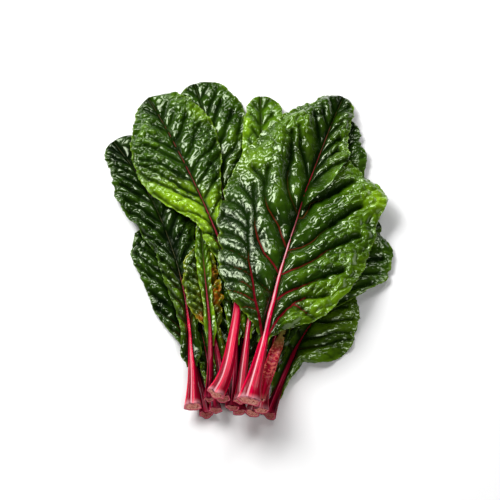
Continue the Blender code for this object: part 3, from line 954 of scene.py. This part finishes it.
def blade_colour(n, leaf, lay):
    dark, middle, light, margin = GREENS[leaf.green]
    # The greens step from dark in the hollows to light on the crests: painted shade and painted light that
    # follow the relief's height.
    rise, pale = n.read("rise"), n.read("pale")
    mottle = n.noise(lay, 0.22, 4.0)
    height = n.plus(rise, n.times(n.minus(n.noise(lay, 0.035, 3.0), 0.5), 0.9))
    height = n.plus(height, n.times(n.minus(n.read("tint"), 0.5), 0.2))
    crest = n.plus(n.plus(height, n.times(mottle, 0.5)), n.times(pale, 0.45))
    yellow = n.times(pale, n.ramp(n.plus(rise, n.times(mottle, 0.6)), 0.3, 1.1))
    rim = n.times(n.read("edge"), n.ramp(n.noise(lay, 0.12, 2.0), 0.3, 0.65))
    return n.paint(
        dark,
        (n.ramp(height, 0.05, 0.60), middle),
        (n.ramp(crest, 0.85, 1.45), light),
        (n.times(yellow, 0.75, clamp=True), YELLOW_GREEN),
        # painted shade in the vein valleys and fork creases
        (n.times(n.read("valley"), 0.8), dark),
        (n.times(rim, 0.85), margin),
        (n.times(n.read("rust"), n.ramp(mottle, 0.3, 0.6), clamp=True), RUST),
        (n.ramp(n.read("vein"), 0.12, 0.6), n.mix(n.ramp(n.read("along"), 0.15, 0.6), VEIN_RED, VEIN_BROWN)),
        (n.times(n.read("back"), 0.55), UNDERSIDE),
    )


def blade_material(leaf):
    n = Nodes("chard_blade_" + leaf.name)
    lay = n.read("lay", "Vector")
    n.shade(Base_Color=blade_colour(n, leaf, lay))
    rough = n.plus(0.11, n.times(n.noise(lay, 0.2, 3.0), 0.10))
    rough = n.plus(rough, n.times(n.read("sheen"), 0.07))
    n.shade(Roughness=rough)
    shade = n.math("MAXIMUM", n.read("valley"), n.read("vein"))
    n.shade(Specular_IOR_Level=leaf.gloss, Specular_Tint=(0.86, 1.0, 0.70))
    n.shade(Specular_IOR_Level=n.ramp(shade, 1.0, 0.2, leaf.gloss))
    wrinkled = n.plus(0.15, n.times(n.ramp(n.read("out"), 0.2, 0.75), 0.6))
    wrinkled = n.times(wrinkled, n.ramp(n.read("sheen"), 1.6, 0.0))
    n.shade(Normal=n.bump(n.noise(lay, 0.13, 1.0), wrinkled, 0.0013))
    return n.material


# body, deep and streak colours, linear; the dark set is the crimson with painted shade, for stalks that lie
# in shadow among the others
STALKS = {
    "crimson": ((0.62, 0.001, 0.04), (0.22, 0.001, 0.012), (0.94, 0.52, 0.58)),
    "dark": ((0.24, 0.001, 0.018), (0.05, 0.0, 0.004), (0.5, 0.03, 0.08)),
    "pale": ((0.46, 0.002, 0.03), (0.15, 0.0, 0.009), (0.8, 0.38, 0.42)),
    "blotched": ((0.52, 0.004, 0.04), (0.26, 0.002, 0.01), (0.74, 0.34, 0.26)),
}
OLD_RED = (0.17, 0.002, 0.013)
RIB_BROWN = (0.026, 0.026, 0.003)
WRINKLE, OLIVE = (0.85, 0.21, 0.15), (0.24, 0.27, 0.05)
PITH = ((0.66, 0.09, 0.09), (0.95, 0.52, 0.38), (0.34, 0.01, 0.025))
RIM = (0.85, 0.16, 0.24)


def stalk_colour(n, leaf, lay, grain, lines):
    body, deep, streak = STALKS[leaf.stalk]
    fade, from_cut = n.read("fade"), n.read("from_cut")
    level = n.minus(0.64, n.times(n.ramp(from_cut, 55.0, 0.0), 0.06))
    pale = n.times(n.ramp(n.minus(lines, level), 0.0, 0.03), n.ramp(fade, 0.62, 0.22))
    colour = n.paint(
        deep,
        (n.ramp(grain, 0.43, 0.54), body),
        (n.times(n.ramp(lines, 0.44, 0.38), 0.75), deep),
        (n.times(pale, 0.8), streak),
        (n.times(n.ramp(from_cut, 8.0, 0.0), 0.35), streak),
    )
    if leaf.stalk == "blotched":
        wrinkle = n.ramp(n.noise(n.scaled(lay, (1.4, 1.4, 0.36)), 1.0, 4.0), 0.49, 0.57)
        wrinkle = n.times(wrinkle, n.ramp(from_cut, 18.0, 42.0))
        tip = n.times(n.ramp(from_cut, 55.0, 84.0), n.ramp(grain, 0.35, 0.55))
        colour = n.paint(colour, (n.times(wrinkle, 0.9), WRINKLE), (n.times(tip, 0.85), OLIVE))
    bare = leaf.petiole / leaf.length
    gone = bare + (1 - bare) * leaf.red_share
    first, last = leaf.wane or (bare, 0.5 * gone + 0.5 * bare)
    # The crown streak runs along the top of the stalk, a little to its left: partly the stalk's own pale
    # stripe and partly a painted highlight.
    side = n.add("SeparateXYZ", inputs={0: lay})
    wide = n.plus(0.12, n.times(n.ramp(fade, 0.15, 0.35), 0.35))
    crown = n.ramp(n.math("ABSOLUTE", n.plus(side.outputs[0], 0.2)), wide, n.times(wide, 0.5))
    crown = n.times(crown, n.ramp(side.outputs[1], 0.5, 0.9))
    patchy = n.times(n.ramp(fade, leaf.crown[1], leaf.crown[0]), n.ramp(grain, 0.36, 0.5))
    return n.paint(
        colour,
        (n.ramp(fade, first, last), n.mix(n.ramp(fade, 0.6 * gone + 0.4 * bare, gone), OLD_RED, RIB_BROWN)),
        # the crown's painted highlight
        (n.times(n.times(crown, patchy), 0.75), streak),
    )


def stalk_material(leaf):
    n = Nodes("chard_stalk_" + leaf.name)
    lay, cut = n.read("lay", "Vector"), n.read("cut")
    grain = n.noise(n.scaled(lay, (1.7, 1.7, 0.008)), 1.0, 3.0, 0.5)
    lines = n.noise(n.scaled(lay, (1.9, 1.9, 0.003)), 1.0, 2.0, 0.5)
    colour = stalk_colour(n, leaf, lay, grain, lines)
    pith = n.mix(n.ramp(n.noise(lay, 0.9, 4.0), 0.35, 0.65), PITH[0], PITH[1])
    pith = n.mix(n.ramp(n.noise(lay, 0.3, 2.0), 0.50, 0.75), pith, PITH[2])
    body = STALKS[leaf.stalk][0]
    # Stalks in shadow get painted shade on their cut faces too: the pith is mixed most of the way to the dark
    # body colour.
    if leaf.stalk == "dark":
        pith = n.mix(0.6, pith, body)
    ring = n.mix(n.ramp(n.read("size"), 0.70, 0.92), pith, RIM)
    face = n.mix(n.ramp(n.read("size"), 0.92, 0.99), ring, body)
    n.shade(Base_Color=n.mix(cut, colour, face))
    rough = n.plus(0.08, n.times(grain, 0.10))
    rough = n.plus(rough, n.times(n.ramp(n.read("fade"), 0.35, 0.7), 0.25))
    n.shade(Roughness=n.plus(rough, n.times(cut, 0.25)), Specular_IOR_Level=0.1)
    grazing = n.add("LayerWeight").outputs["Facing"]
    n.shade(Specular_IOR_Level=n.ramp(grazing, 0.75, 0.3, 0.10), Normal=n.bump(lines, 0.25, 0.0016))
    return n.material


# -------- floor, lights and camera


def stage():
    far = FLOOR_HALF
    mesh = bpy.data.meshes.new("floor")
    mesh.from_pydata([(-far, -far, 0), (far, -far, 0), (far, far, 0), (-far, far, 0)], [], [(0, 1, 2, 3)])
    n = Nodes("floor")
    n.shade(Base_Color=(0.93, 0.93, 0.93), Roughness=0.9, Specular_IOR_Level=0.1)
    mesh.materials.append(n.material)
    linked_object("floor", mesh)

    world = bpy.data.worlds.new("studio")
    bpy.context.scene.world = world
    world.use_nodes = True
    background = world.node_tree.nodes["Background"]
    background.inputs["Color"].default_value = (1.0, 1.0, 1.0, 1.0)
    background.inputs["Strength"].default_value = WORLD_LIGHT
    for name, place, size, power in LIGHTS:
        light = bpy.data.lights.new(name, "AREA")
        light.size, light.energy = size, power
        obj = linked_object(name, light)
        obj.location = place
        obj.rotation_euler = (Vector(LIGHT_AIM) - Vector(place)).to_track_quat("-Z", "Y").to_euler()


def camera(shift):
    elevation = math.radians(ELEVATION)
    target = Vector((shift[0] + AIM[0], shift[1] + AIM[1], AIM[2])) * MM
    data = bpy.data.cameras.new("camera")
    data.sensor_width = 36.0
    data.lens = data.sensor_width * CAMERA_DISTANCE / FRAME_WIDTH
    obj = linked_object("camera", data)
    away = Vector((0.0, -math.cos(elevation), math.sin(elevation)))
    obj.location = target + away * CAMERA_DISTANCE
    obj.rotation_euler = (-away).to_track_quat("-Z", "Y").to_euler()
    bpy.context.scene.camera = obj


def main():
    bpy.context.scene.view_settings.view_transform = "Standard"
    shift = plan_shift()
    ground = Ground()
    for place, leaf in enumerate(LEAVES):
        later = [other.name + part for other in LEAVES[place + 1 :] for part in ("_stalk", "_blade")]
        upper = node_tree(*later) if later else None
        middle = dress_blade(leaf, shift, ground, upper)
        dress_stalk(leaf, shift, ground, middle)
    stage()
    camera(shift)


main()
